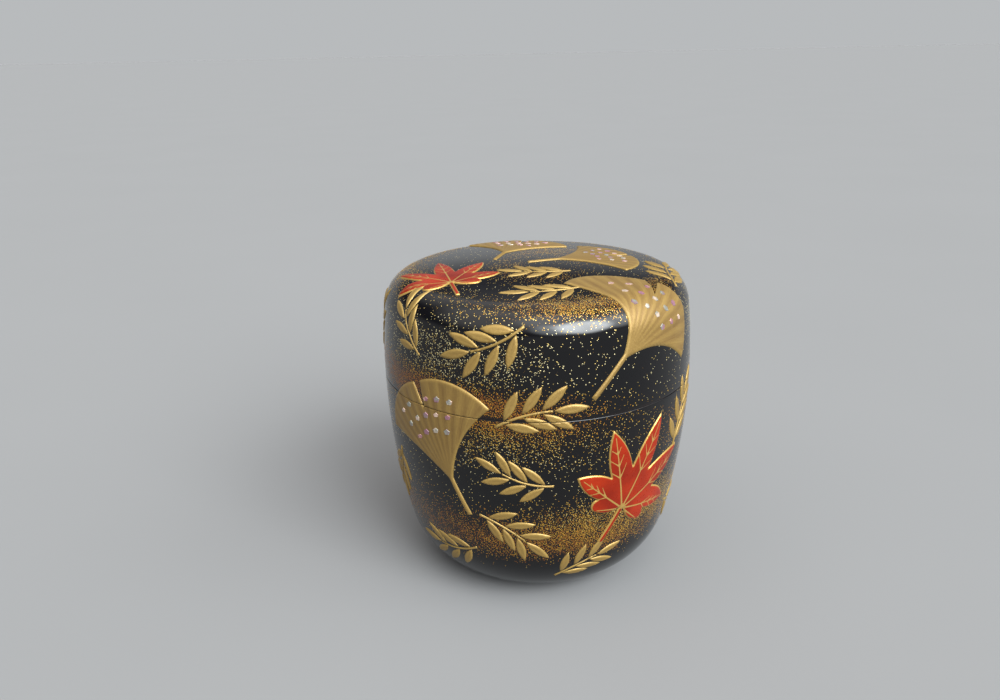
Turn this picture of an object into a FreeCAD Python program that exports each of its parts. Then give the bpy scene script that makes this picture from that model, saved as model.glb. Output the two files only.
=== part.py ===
import FreeCAD, Part
import math
import os

# Round lacquered tea caddy: a turned vessel, a cover that slips over the vessel's lip, and raised
# leaves, sprays and shell flecks laid on both. Millimetres, +Z up, origin at the centre of the foot.

# Outer form of the turned pieces
outer_diameter = 74.0
overall_height = 76.0
seam_height = 51.0
vessel_side_radius = 155.0
foot_curve_radius = 18.0
cover_side_radius = 150.0
shoulder_radius = 7.4
crown_radius = 280.0

# Foot ring
foot_diameter = 40.0
foot_height = 0.6
foot_ring_width = 3.2
foot_recess_depth = 0.8

# Walls, and the lip that the cover slips over
vessel_wall = 3.2
cover_wall = 2.0
lip_height = 8.0
lip_clearance = 0.1
lip_head_room = 0.6
seam_edge_round = 0.2
lip_edge_round = 0.4
foot_edge_round = 0.3

# Raised work: a thin bonding film, then the thickness of each kind
bonding_film = 0.03
leaf_relief = 0.36
spray_relief = 0.2
fleck_relief = 0.12
seam_cut = 0.1
relief_reach = 9.0
relief_proud = 2.0
least_offcut = 0.05

# Gold fan-shaped leaf
gold_leaf_width = 27.0
gold_leaf_corner_height = 11.0
gold_leaf_edge_height = 19.0
gold_leaf_notch_width = 1.8
gold_leaf_notch_depth = 5.0
gold_leaf_side_hollow = 1.6
gold_leaf_edge_swell = 2.5
gold_leaf_stalk_length = 8.0
gold_leaf_stalk_width = 1.0

# Red lobed leaf: length of each lobe by its angle from the middle one
red_leaf_lobes = [(0.0, 14.5), (42.0, 13.2), (86.0, 10.4), (128.0, 6.2)]
red_leaf_valley = 5.6
red_leaf_lobe_swell = 0.65
red_leaf_base = 2.0
red_leaf_stalk_length = 7.0
red_leaf_stalk_width = 0.9

# Gold spray: a bent stem with pairs of pointed leaflets and one at the tip
spray_length = 12.0
spray_bend = 0.8
spray_stem_width = 0.55
leaflet_length = 7.0
leaflet_width = 2.0
leaflet_pairs = 3
leaflet_angle = 38.0
leaflet_gap = 0.15

# Shell flecks: small lozenges in rows across a gold leaf
fleck_size = 1.3
fleck_rows = [(9.6, 4), (12.6, 5), (15.6, 6)]
fleck_fan_angle = 62.0

# Places on the caddy: turn from the front in degrees, run along the outline from the seam in
# millimetres (up the cover is positive), spin in degrees, and scale
gold_leaf_places = [
    (-38.0, -5.5, 22.0, 1.2),
    (44.0, 20.5, -52.0, 1.15),
    (148.0, -18.0, -28.0, 1.15),
    (-165.0, 36.0, 150.0, 1.0),
    (112.0, 41.0, 180.0, 1.0),
]
red_leaf_places = [
    (34.0, -21.5, -26.0, 1.4),
    (-55.0, 33.0, 70.0, 1.15),
    (-124.0, -4.0, 35.0, 1.25),
]
spray_places = [
    (-4.0, 0.5, -72.0, 1.05),
    (-3.0, -14.0, 76.0, 0.95),
    (-13.0, -27.5, -122.0, 1.0),
    (-34.0, -36.0, 104.0, 0.95),
    (16.0, -39.5, -60.0, 0.9),
    (-65.0, -20.0, 152.0, 1.0),
    (63.0, -9.0, -22.0, 1.05),
    (72.0, -34.0, -125.0, 1.0),
    (-13.0, 17.5, 118.0, 1.05),
    (-48.0, 15.5, 36.0, 0.9),
    (11.0, 34.5, 96.0, 0.95),
    (17.0, 47.5, 75.0, 0.9),
    (80.0, 24.5, -75.0, 1.0),
    (-84.0, 9.0, -14.0, 1.0),
    (104.0, 9.5, 20.0, 1.0),
    (112.0, -22.0, 150.0, 1.0),
    (-98.0, -29.0, 40.0, 1.0),
    (-165.0, 9.0, 60.0, 1.0),
    (-116.0, 20.0, 100.0, 0.9),
    (146.0, 13.0, -100.0, 1.0),
    (-166.0, -22.0, -40.0, 1.0),
    (-168.0, -39.0, 100.0, 0.9),
]

# Sizes that follow from those above
outer_radius = outer_diameter / 2
foot_radius = foot_diameter / 2
cover_bore_radius = outer_radius - cover_wall
lip_outer_radius = cover_bore_radius - lip_clearance
well_radius = outer_radius - vessel_wall
cover_bore_depth = lip_height + lip_head_room


class OutlineArc:
    # one arc of the turned outline, in the radius-height plane; angles in radians
    def __init__(self, centre, radius, start, end):
        self.centre = centre
        self.radius = radius
        self.start = start
        self.end = end

    def point(self, angle, offset=0.0):
        reach = self.radius + offset
        return (self.centre[0] + reach * math.cos(angle), self.centre[1] + reach * math.sin(angle))

    def length(self):
        return self.radius * abs(self.end - self.start)

    def angle_at(self, run):
        return self.start + math.copysign(run / self.radius, self.end - self.start)

    def edge(self, offset=0.0, start=None, end=None):
        first = self.start if start is None else start
        last = self.end if end is None else end
        points = [self.point(a, offset) for a in (first, (first + last) / 2, last)]
        return Part.Arc(*[flat(p) for p in points]).toShape()


def flat(point):
    return FreeCAD.Vector(point[0], 0, point[1])


def line(first, last):
    return Part.LineSegment(flat(first), flat(last)).toShape()


def turned(edges):
    # solid of revolution about Z from the edges of a closed section
    wire = Part.Wire(Part.__sortEdges__(edges))
    return Part.Face(wire).revolve(FreeCAD.Vector(0, 0, 0), FreeCAD.Vector(0, 0, 1), 360)


def vessel_outline():
    # the vessel from the seam down: long side arc, then the tight arc that turns in to the foot
    side_centre = (outer_radius - vessel_side_radius, seam_height)
    foot_centre_height = foot_height + foot_curve_radius
    drop = seam_height - foot_centre_height
    gap = vessel_side_radius - foot_curve_radius
    foot_centre = (side_centre[0] + math.sqrt(gap**2 - drop**2), foot_centre_height)
    meet = math.atan2(-drop, foot_centre[0] - side_centre[0])
    foot_end = -math.acos((foot_radius - foot_centre[0]) / foot_curve_radius)
    return [
        OutlineArc(side_centre, vessel_side_radius, 0.0, meet),
        OutlineArc(foot_centre, foot_curve_radius, meet, foot_end),
    ]


def cover_outline():
    # the cover from the seam up: side arc, rounded shoulder, shallow crown; all tangent
    side_centre = (outer_radius - cover_side_radius, seam_height)
    crown_centre = (0.0, overall_height - crown_radius)
    to_side = cover_side_radius - shoulder_radius
    to_crown = crown_radius - shoulder_radius
    apart = (crown_centre[0] - side_centre[0], crown_centre[1] - side_centre[1])
    span = math.hypot(*apart)
    along = (to_side**2 - to_crown**2 + span**2) / (2 * span)
    across = math.sqrt(to_side**2 - along**2)
    unit = (apart[0] / span, apart[1] / span)
    shoulder = (
        side_centre[0] + along * unit[0] - across * unit[1],
        side_centre[1] + along * unit[1] + across * unit[0],
    )
    side_end = math.atan2(shoulder[1] - side_centre[1], shoulder[0] - side_centre[0])
    crown_start = math.atan2(shoulder[1] - crown_centre[1], shoulder[0] - crown_centre[0])
    return [
        OutlineArc(side_centre, cover_side_radius, 0.0, side_end),
        OutlineArc(shoulder, shoulder_radius, side_end, crown_start),
        OutlineArc(crown_centre, crown_radius, crown_start, math.pi / 2),
    ]


def round_rims(solid, rims, radius):
    # rounds the circular edges given as (radius, height) pairs
    picked = []
    for edge in solid.Edges:
        if edge.Degenerated or not isinstance(edge.Curve, Part.Circle):
            continue
        for rim_radius, rim_height in rims:
            same_radius = abs(edge.Curve.Radius - rim_radius) < 1e-6
            same_height = abs(edge.Curve.Center.z - rim_height) < 1e-6
            if same_radius and same_height:
                picked.append(edge)
    return solid.makeFillet(radius, picked)


def body_vessel():
    side, foot = vessel_outline()
    recess_radius = foot_radius - foot_ring_width
    floor_height = foot.point(-math.pi / 2, -vessel_wall)[1]
    lip_top = seam_height + lip_height
    corners = [
        foot.point(foot.end),
        (foot_radius, 0.0),
        (recess_radius, 0.0),
        (recess_radius, foot_recess_depth),
        (0.0, foot_recess_depth),
        (0.0, floor_height),
        (foot.centre[0], floor_height),
    ]
    rim = [
        (outer_radius, seam_height),
        (lip_outer_radius, seam_height),
        (lip_outer_radius, lip_top),
        (well_radius, lip_top),
        (well_radius, seam_height),
    ]
    edges = [line(a, b) for run in (corners, rim) for a, b in zip(run, run[1:])]
    edges += [side.edge(), foot.edge(), side.edge(-vessel_wall)]
    edges.append(foot.edge(-vessel_wall, end=-math.pi / 2))
    solid = turned(edges)
    solid = round_rims(solid, [(outer_radius, seam_height)], seam_edge_round)
    solid = round_rims(solid, [(lip_outer_radius, lip_top), (well_radius, lip_top)], lip_edge_round)
    return round_rims(solid, [(foot_radius, 0.0), (recess_radius, 0.0)], foot_edge_round)


def lid_cover():
    side, shoulder, crown = cover_outline()
    bore_top = seam_height + cover_bore_depth
    inner_start = math.asin(cover_bore_depth / (side.radius - cover_wall))
    rim = [
        side.point(inner_start, -cover_wall),
        (cover_bore_radius, bore_top),
        (cover_bore_radius, seam_height),
        (outer_radius, seam_height),
    ]
    edges = [line(a, b) for a, b in zip(rim, rim[1:])]
    edges += [arc.edge() for arc in (side, shoulder, crown)]
    edges.append(line((0.0, overall_height), (0.0, overall_height - cover_wall)))
    edges += [arc.edge(-cover_wall) for arc in (shoulder, crown)]
    edges.append(side.edge(-cover_wall, start=inner_start))
    return round_rims(turned(edges), [(outer_radius, seam_height)], seam_edge_round)


def relief_layer(arcs, lift, thickness):
    # thin shell that follows an outline from the seam on, lifted off the lacquer
    start = math.copysign(seam_cut / arcs[0].radius, arcs[0].end)
    last = arcs[-1]
    edges = []
    for offset in (lift, lift + thickness):
        edges += [arcs[0].edge(offset, start=start)]
        edges += [arc.edge(offset) for arc in arcs[1:]]
    edges.append(line(arcs[0].point(start, lift), arcs[0].point(start, lift + thickness)))
    edges.append(line(last.point(last.end, lift), last.point(last.end, lift + thickness)))
    return turned(edges)


class Seat:
    # a place on the caddy: a point, its outward normal and two tangents turned by the spin
    def __init__(self, turn, run, spin, scale):
        radius, height, lean = self.on_outline(run)
        turn = math.radians(turn)
        out = FreeCAD.Vector(math.sin(turn), -math.cos(turn), 0)
        right = FreeCAD.Vector(math.cos(turn), math.sin(turn), 0)
        top = FreeCAD.Vector(0, 0, 1)
        up = top * math.cos(lean) - out * math.sin(lean)
        self.normal = out * math.cos(lean) + top * math.sin(lean)
        self.point = out * radius + top * height
        spin = math.radians(spin)
        self.right = right * math.cos(spin) + up * math.sin(spin)
        self.up = up * math.cos(spin) - right * math.sin(spin)
        self.scale = scale

    @staticmethod
    def on_outline(run):
        left = abs(run)
        for arc in cover_outline() if run >= 0 else vessel_outline():
            if left <= arc.length():
                break
            left -= arc.length()
        angle = arc.angle_at(left)
        return (*arc.point(angle), angle)

    def at(self, across, along):
        return self.point + (self.right * across + self.up * along) * self.scale

    def prism(self, runs):
        # closed outline, given as two-point lines and three-point arcs, swept along the normal
        edges = []
        for run in runs:
            points = [self.at(*p) for p in run]
            curve = Part.LineSegment(*points) if len(run) == 2 else Part.Arc(*points)
            edges.append(curve.toShape())
        face = Part.Face(Part.Wire(edges))
        face.translate(self.normal * -relief_reach)
        return face.extrude(self.normal * (relief_reach + relief_proud))


def bowed(first, last, swell):
    # three points of an arc between two ends that swells to the right of the way it runs
    run = (last[0] - first[0], last[1] - first[1])
    length = math.hypot(*run)
    middle = (
        (first[0] + last[0]) / 2 + swell * run[1] / length,
        (first[1] + last[1]) / 2 - swell * run[0] / length,
    )
    return (first, middle, last)


def polar(reach, degrees):
    angle = math.radians(degrees)
    return (reach * math.sin(angle), reach * math.cos(angle))


def chain(points):
    return list(zip(points, points[1:]))


def gold_leaf(seat):
    half_stalk = gold_leaf_stalk_width / 2
    half_notch = gold_leaf_notch_width / 2
    drop = gold_leaf_edge_height / 2
    stalk_foot = -drop - gold_leaf_stalk_length
    corner = gold_leaf_width / 2
    corner_height = gold_leaf_corner_height - drop
    edge_height = gold_leaf_edge_height - drop
    notch = chain([
        (half_notch, edge_height),
        (0.0, edge_height - gold_leaf_notch_depth),
        (-half_notch, edge_height),
    ])
    stalk = chain([
        (-half_stalk, -drop),
        (-half_stalk, stalk_foot),
        (half_stalk, stalk_foot),
        (half_stalk, -drop),
    ])
    runs = [bowed((half_stalk, -drop), (corner, corner_height), -gold_leaf_side_hollow)]
    runs.append(bowed((corner, corner_height), (half_notch, edge_height), gold_leaf_edge_swell))
    runs += notch
    runs.append(bowed((-half_notch, edge_height), (-corner, corner_height), gold_leaf_edge_swell))
    runs.append(bowed((-corner, corner_height), (-half_stalk, -drop), -gold_leaf_side_hollow))
    return seat.prism(runs + stalk)


def red_leaf(seat):
    # lobes run round from the stalk's right side to its left side, with a valley between each two
    right_lobes = [(angle, reach) for angle, reach in reversed(red_leaf_lobes)]
    left_lobes = [(-angle, reach) for angle, reach in red_leaf_lobes[1:]]
    lobes = right_lobes + left_lobes
    half_stalk = red_leaf_stalk_width / 2
    points = [(half_stalk, -red_leaf_base)]
    for index, (angle, reach) in enumerate(lobes):
        points.append(polar(reach, angle))
        if index + 1 < len(lobes):
            points.append(polar(red_leaf_valley, (angle + lobes[index + 1][0]) / 2))
    points.append((-half_stalk, -red_leaf_base))
    runs = [bowed(a, b, red_leaf_lobe_swell) for a, b in chain(points)]
    stalk_foot = -red_leaf_base - red_leaf_stalk_length
    runs += chain([points[-1], (-half_stalk, stalk_foot), (half_stalk, stalk_foot), points[0]])
    return seat.prism(runs)


def spray(seat):
    half_stem = spray_stem_width / 2
    foot = -spray_length / 2
    tip = spray_length / 2
    bend_radius = spray_length**2 / (8 * spray_bend)

    def stem_at(along):
        return -spray_bend + along**2 / (2 * bend_radius)

    def strip_side(side):
        return [(stem_at(v) + side, v) for v in (foot, 0.0, tip)]

    right_side = strip_side(half_stem)
    left_side = strip_side(-half_stem)
    stem = [right_side, (right_side[2], left_side[2]), left_side[::-1], (left_side[0], right_side[0])]
    prisms = [seat.prism(stem)]

    def leaflet(along, side):
        lean = math.degrees(math.atan2(along, bend_radius))
        reach = polar(leaflet_length, side * leaflet_angle + lean)
        beside = side * (half_stem + leaflet_gap)
        ahead = leaflet_gap if side == 0 else 0.0
        base = (stem_at(along) + beside, along + ahead)
        point = (base[0] + reach[0], base[1] + reach[1])
        half = leaflet_width / 2
        return seat.prism([bowed(base, point, half), bowed(point, base, half)])

    step = spray_length / leaflet_pairs
    for pair in range(leaflet_pairs):
        along = foot + (pair + 0.5) * step
        prisms += [leaflet(along, side) for side in (-1, 1)]
    prisms.append(leaflet(tip, 0))
    return prisms


def flecks(seat):
    # lozenges on rings about the foot of the fan, in rows that spread with it
    prisms = []
    half = fleck_size / 2
    for reach, count in fleck_rows:
        for index in range(count):
            share = (index + 0.5) / count - 0.5
            across, along = polar(reach, share * fleck_fan_angle)
            along -= gold_leaf_edge_height / 2
            corners = [(across + half, along), (across, along + half)]
            corners += [(across - half, along), (across, along - half)]
            prisms.append(seat.prism(chain(corners + corners[:1])))
    return prisms


def laid_on(arcs, prisms, lift, thickness, over=()):
    # what the relief layer keeps of each outline, less what lies over it and the least offcuts
    layer = relief_layer(arcs, lift, thickness)
    near = [prism for prism in prisms if prism.BoundBox.intersect(layer.BoundBox)]
    shape = layer.common(near)
    if over:
        shape = shape.cut(list(over))
    return Part.makeCompound([solid for solid in shape.Solids if solid.Volume > least_offcut])


os.makedirs("parts", exist_ok=True)
body_vessel().exportStep("parts/body_vessel.step")
lid_cover().exportStep("parts/lid_cover.step")

gold_seats = [Seat(*place) for place in gold_leaf_places]
gold_prisms = [gold_leaf(seat) for seat in gold_seats]
red_prisms = [red_leaf(Seat(*place)) for place in red_leaf_places]
leaf_prisms = gold_prisms + red_prisms
spray_prisms = [prism for place in spray_places for prism in spray(Seat(*place))]
fleck_prisms = [prism for seat in gold_seats for prism in flecks(seat)]
fleck_lift = bonding_film + leaf_relief + bonding_film

for body, arcs in (("body", vessel_outline()), ("lid", cover_outline())):
    raised = {
        "gold_leaves": laid_on(arcs, gold_prisms, bonding_film, leaf_relief),
        "red_leaves": laid_on(arcs, red_prisms, bonding_film, leaf_relief),
        "gold_sprays": laid_on(arcs, spray_prisms, bonding_film, spray_relief, leaf_prisms),
        "shell_flecks": laid_on(arcs, fleck_prisms, fleck_lift, fleck_relief),
    }
    for name, shape in raised.items():
        shape.exportStep(f"parts/{body}_{name}.step")
        print(body, name, len(shape.Solids), "solids", round(shape.Volume, 2), "mm3")
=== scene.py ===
from math import acos, asin, atan2, ceil, copysign, cos, degrees, dist, hypot, pi, radians, sin, sqrt

import bmesh
import bpy
import numpy as np
from mathutils import Matrix, Vector
from mathutils.geometry import delaunay_2d_cdt


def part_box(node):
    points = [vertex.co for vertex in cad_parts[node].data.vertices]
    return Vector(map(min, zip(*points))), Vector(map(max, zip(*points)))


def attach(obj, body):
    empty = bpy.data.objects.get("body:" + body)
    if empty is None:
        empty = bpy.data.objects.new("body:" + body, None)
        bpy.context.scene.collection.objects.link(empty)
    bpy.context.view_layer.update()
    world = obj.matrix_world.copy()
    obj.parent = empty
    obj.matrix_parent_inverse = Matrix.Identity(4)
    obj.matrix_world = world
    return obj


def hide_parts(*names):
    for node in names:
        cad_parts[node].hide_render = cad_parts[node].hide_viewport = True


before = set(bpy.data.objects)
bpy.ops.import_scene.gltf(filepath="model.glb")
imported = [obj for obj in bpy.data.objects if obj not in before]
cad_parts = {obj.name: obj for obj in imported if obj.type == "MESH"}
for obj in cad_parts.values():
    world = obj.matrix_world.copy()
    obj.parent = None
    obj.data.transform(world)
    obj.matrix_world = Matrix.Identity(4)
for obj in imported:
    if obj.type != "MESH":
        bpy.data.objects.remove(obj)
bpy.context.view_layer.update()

coverLow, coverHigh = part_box("lid_cover")
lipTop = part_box("body_vessel")[1].z
nearlyZero = 1e-9
print("frame loaded:", ", ".join(sorted(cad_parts)))

# The turned form, in metres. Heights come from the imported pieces.
turnedForm = {
    "radius": 0.037,
    "seamHeight": coverLow.z,
    "topHeight": coverHigh.z,
    "vesselSideRadius": 0.155,
    "footCurveRadius": 0.018,
    "coverSideRadius": 0.15,
    "shoulderRadius": 0.0074,
    "crownRadius": 0.28,
    "footRadius": 0.02, "footHeight": 0.0006, "footRingWidth": 0.0032, "footRecess": 0.0008,
    "vesselWall": 0.0032,
    "coverWall": 0.002,
    "lipClearance": 0.0001, "lipHeadRoom": 0.0006,
    "seamRound": 0.0002,
    "lipRound": 0.0004,
    "footRound": 0.0003,
    "roundSteps": 5,
    "cornerBand": 0.0003,  # from a square corner to the next point
    "wornBand": 0.0003,  # over which the wear of an edge fades
    "seamWear": 0.15,
    "segments": 288,
    "outerStep": 0.0005,
    "shoulderStep": 0.00035,
    "innerStep": 0.0016, "innerCurveStep": 0.0008,
}


class TurnedArc:
    # one arc of the turned outline in the radius-height plane
    def __init__(self, centre, radius, start, end):
        self.centre = centre
        self.radius = radius
        self.start = start
        self.end = end

    def point(self, angle, offset=0.0):
        reach = self.radius + offset
        return (self.centre[0] + reach * cos(angle), self.centre[1] + reach * sin(angle))

    def length(self):
        return self.radius * abs(self.end - self.start)

    def angleAt(self, run):
        return self.start + copysign(run / self.radius, self.end - self.start)

    def points(self, step, offset=0.0, start=None, end=None):
        first = self.start if start is None else start
        last = self.end if end is None else end
        count = max(2, ceil((self.radius + offset) * abs(last - first) / step))
        return [self.point(first + (last - first) * i / count, offset) for i in range(count + 1)]


def vesselOutline(form):
    sideCentre = (form["radius"] - form["vesselSideRadius"], form["seamHeight"])
    footCentreHeight = form["footHeight"] + form["footCurveRadius"]
    drop = form["seamHeight"] - footCentreHeight
    gap = form["vesselSideRadius"] - form["footCurveRadius"]
    footCentre = (sideCentre[0] + sqrt(gap**2 - drop**2), footCentreHeight)
    meet = atan2(-drop, footCentre[0] - sideCentre[0])
    footEnd = -acos((form["footRadius"] - footCentre[0]) / form["footCurveRadius"])
    return [
        TurnedArc(sideCentre, form["vesselSideRadius"], 0.0, meet),
        TurnedArc(footCentre, form["footCurveRadius"], meet, footEnd),
    ]


def coverOutline(form):
    sideCentre = (form["radius"] - form["coverSideRadius"], form["seamHeight"])
    crownCentre = (0.0, form["topHeight"] - form["crownRadius"])
    toSide = form["coverSideRadius"] - form["shoulderRadius"]
    toCrown = form["crownRadius"] - form["shoulderRadius"]
    apart = (crownCentre[0] - sideCentre[0], crownCentre[1] - sideCentre[1])
    span = hypot(*apart)
    along = (toSide**2 - toCrown**2 + span**2) / (2 * span)
    across = sqrt(toSide**2 - along**2)
    unit = (apart[0] / span, apart[1] / span)
    shoulder = (
        sideCentre[0] + along * unit[0] - across * unit[1],
        sideCentre[1] + along * unit[1] + across * unit[0],
    )
    sideEnd = atan2(shoulder[1] - sideCentre[1], shoulder[0] - sideCentre[0])
    crownStart = atan2(shoulder[1] - crownCentre[1], shoulder[0] - crownCentre[0])
    return [
        TurnedArc(sideCentre, form["coverSideRadius"], 0.0, sideEnd),
        TurnedArc(shoulder, form["shoulderRadius"], sideEnd, crownStart),
        TurnedArc(crownCentre, form["crownRadius"], crownStart, pi / 2),
    ]


vesselArcs = vesselOutline(turnedForm)
coverArcs = coverOutline(turnedForm)


def standOff(points):
    # distance outside the turned outline, and the outward direction, for points in space
    reach = np.hypot(points[:, 0], points[:, 1])
    height = points[:, 2]
    away = np.full(len(points), np.inf)
    lean = np.zeros(len(points))
    above = height >= turnedForm["seamHeight"]
    slack = 1e-6  # so that neighbouring arcs leave no gap
    for arcs, side in ((coverArcs, above), (vesselArcs, ~above)):
        for arc in arcs:
            angle = np.arctan2(height - arc.centre[1], reach - arc.centre[0])
            low, high = sorted((arc.start, arc.end))
            inside = side & (angle >= low - slack) & (angle <= high + slack)
            distance = np.hypot(reach - arc.centre[0], height - arc.centre[1]) - arc.radius
            take = inside & (np.abs(distance) < np.abs(away))
            away[take] = distance[take]
            lean[take] = angle[take]
    safe = np.maximum(reach, nearlyZero)
    flat = np.cos(lean)[:, None] * points[:, :2] / safe[:, None]
    return away, np.column_stack([flat, np.sin(lean)])


seating = {"startHeight": 0.004, "rounds": 30, "leastFacing": 0.35}


class Seat:
    # a place on the caddy: point, outward normal and two tangents turned by the spin
    def __init__(self, turn, run, spin, scale):
        left = abs(run)
        for arc in coverArcs if run >= 0 else vesselArcs:
            if left <= arc.length():
                break
            left -= arc.length()
        lean = arc.angleAt(left)
        radius, height = arc.point(lean)
        turn = radians(turn)
        spin = radians(spin)
        out = np.array([sin(turn), -cos(turn), 0.0])
        right = np.array([cos(turn), sin(turn), 0.0])
        top = np.array([0.0, 0.0, 1.0])
        up = top * cos(lean) - out * sin(lean)
        self.normal = out * cos(lean) + top * sin(lean)
        self.point = out * radius + top * height
        self.right = right * cos(spin) + up * sin(spin)
        self.up = up * cos(spin) - right * sin(spin)
        self.scale = scale

    def onSurface(self, plan, lift):
        # drops plan points along the normal until they stand the given lift off the lacquer
        flat = self.point + (plan[:, :1] * self.right + plan[:, 1:2] * self.up) * self.scale
        points = flat + self.normal * seating["startHeight"]
        for _ in range(seating["rounds"]):
            away, outward = standOff(points)
            facing = np.maximum(outward @ self.normal, seating["leastFacing"])
            points = points - self.normal * ((away - lift) / facing)[:, None]
        return points


def newObject(name, mesh, material=None):
    # a mesh from a node tree keeps its own materials and flat faces
    piece = bpy.data.objects.new(name, mesh)
    bpy.context.scene.collection.objects.link(piece)
    if material:
        mesh.materials.append(material)
        mesh.polygons.foreach_set("use_smooth", [True] * len(mesh.polygons))
    return piece


def newMesh(name, verts, faces, values):
    # values holds a number or a vector for every point, by name
    mesh = bpy.data.meshes.new(name)
    mesh.from_pydata(verts, [], faces)
    for attribute, numbers in values.items():
        numbers = np.asarray(numbers, np.float32)
        kind, field = ("FLOAT", "value") if numbers.ndim == 1 else ("FLOAT_VECTOR", "vector")
        layer = mesh.attributes.new(attribute, kind, "POINT")
        layer.data.foreach_set(field, numbers.ravel())
    return mesh


def openShell(mesh):
    shell = bmesh.new()
    shell.from_mesh(mesh)
    return shell


def closeShell(shell, mesh):
    bmesh.ops.recalc_face_normals(shell, faces=shell.faces)
    shell.to_mesh(mesh)
    shell.free()


# Drifts of sprinkled gold dust, each a place with these values:
# turn, run from the seam, half length, half width, slant, weight and warmth
dustDrifts = {
    "base": 0.035, "baseWarmth": 0.1,
    "bareBelow": -0.04, "bareFade": 0.007,
    "places": [
        (-42.0, 0.0035, 0.024, 0.0034, -4.0, 1.0, 1.0),
        (-12.0, 0.0005, 0.018, 0.0042, -4.0, 0.7, 0.75),
        (-20.0, -0.006, 0.027, 0.0055, 0.0, 0.34, 0.35),
        (-30.0, 0.012, 0.021, 0.0065, 0.0, 0.36, 0.1),
        (30.0, 0.0252, 0.022, 0.0033, 2.0, 1.15, 0.6),
        (32.0, -0.0265, 0.022, 0.0056, 2.0, 1.0, 0.55),
        (20.0, -0.0335, 0.022, 0.0042, 0.0, 0.5, 0.8),
        (-26.0, -0.03, 0.026, 0.005, 0.0, 0.55, 0.85),
        (-8.0, 0.044, 0.014, 0.006, -20.0, 0.3, 0.6),
        (98.0, -0.002, 0.024, 0.005, 12.0, 0.95, 0.85),
        (104.0, -0.03, 0.024, 0.0055, -6.0, 0.9, 0.6),
        (92.0, 0.015, 0.018, 0.006, 0.0, 0.35, 0.15),
        (-112.0, 0.024, 0.024, 0.004, 2.0, 1.0, 0.55),
        (-150.0, 0.003, 0.026, 0.0042, -8.0, 0.95, 0.95),
        (-104.0, -0.029, 0.024, 0.0055, 4.0, 0.85, 0.8),
        (172.0, -0.029, 0.024, 0.0055, 0.0, 0.8, 0.6),
        (160.0, 0.022, 0.022, 0.0045, 0.0, 0.8, 0.6),
        (-160.0, -0.01, 0.024, 0.006, 6.0, 0.34, 0.2),
        (150.0, 0.044, 0.014, 0.006, 20.0, 0.45, 0.6),
    ],
}


def dustAt(turn, run, radius):
    # weight of the dust and its warmth, from pale to copper, at each turn of one ring
    weight = np.full(np.shape(turn), dustDrifts["base"])
    warmth = weight * dustDrifts["baseWarmth"]
    for place, centreRun, halfLength, halfWidth, slant, strength, warm in dustDrifts["places"]:
        around = (turn - radians(place) + pi) % (2 * pi) - pi
        across = around * radius
        along = run - centreRun
        tilt = radians(slant)
        first = (across * cos(tilt) + along * sin(tilt)) / halfLength
        second = (along * cos(tilt) - across * sin(tilt)) / halfWidth
        drift = strength * np.exp(-(first**2) - second**2)
        weight = weight + drift
        warmth = warmth + drift * warm
    bare = np.clip((run - dustDrifts["bareBelow"]) / dustDrifts["bareFade"], 0, 1)
    return np.clip(weight, 0, 1) * bare, warmth / weight


def outlineRuns(points):
    # run along the outline from its first point, for each point
    steps = [0.0] + [dist(a, b) for a, b in zip(points, points[1:])]
    return np.cumsum(steps)


def profileRows(before, outer, after, outerRuns, worn):
    # every point of a profile with its run from the seam, whether dust lies there, and its wear
    points = before + outer + after
    runs = [0.0] * len(before) + list(outerRuns) + [0.0] * len(after)
    dusty = [False] * len(before) + [True] * len(outer) + [False] * len(after)
    return list(zip(points, runs, dusty, [worn.get(point, 0.0) for point in points]))


def latheMesh(name, rows):
    # turns an open profile about Z; ends on the axis become single points
    count = turnedForm["segments"]
    turns = np.arange(count) * 2 * pi / count
    verts = []
    rings = []
    values = {"dust": [], "warm": [], "wear": []}
    for (radius, height), run, dusty, rubbed in rows:
        start = len(verts)
        if radius < nearlyZero:
            verts.append((0.0, 0.0, height))
            weights = [dustDrifts["base"] * dusty]
            warmths = [dustDrifts["baseWarmth"]]
        else:
            verts += [(radius * sin(t), -radius * cos(t), height) for t in turns]
            weights, warmths = dustAt(turns, run, radius)
            weights = weights * dusty
        ring = list(range(start, len(verts)))
        rings.append(ring if len(ring) > 1 else ring * count)
        values["dust"] += list(weights)
        values["warm"] += list(warmths)
        values["wear"] += [rubbed] * len(ring)
    faces = []
    for low, high in zip(rings, rings[1:]):
        for i in range(count):
            j = (i + 1) % count
            corners = dict.fromkeys((low[i], low[j], high[j], high[i]))  # three at the axis
            faces.append(tuple(corners))
    return newMesh(name, verts, faces, values)


def roundedCorner(corner, before, after, radius):
    # quarter-round points that replace a square corner, from the side before it to the side after
    first = Vector(before) * radius
    second = Vector(after) * radius
    centre = Vector(corner) + first + second
    points = []
    for i in range(turnedForm["roundSteps"] + 1):
        angle = pi / 2 * i / turnedForm["roundSteps"]
        points.append(tuple(centre - second * cos(angle) - first * sin(angle)))
    return points


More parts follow.
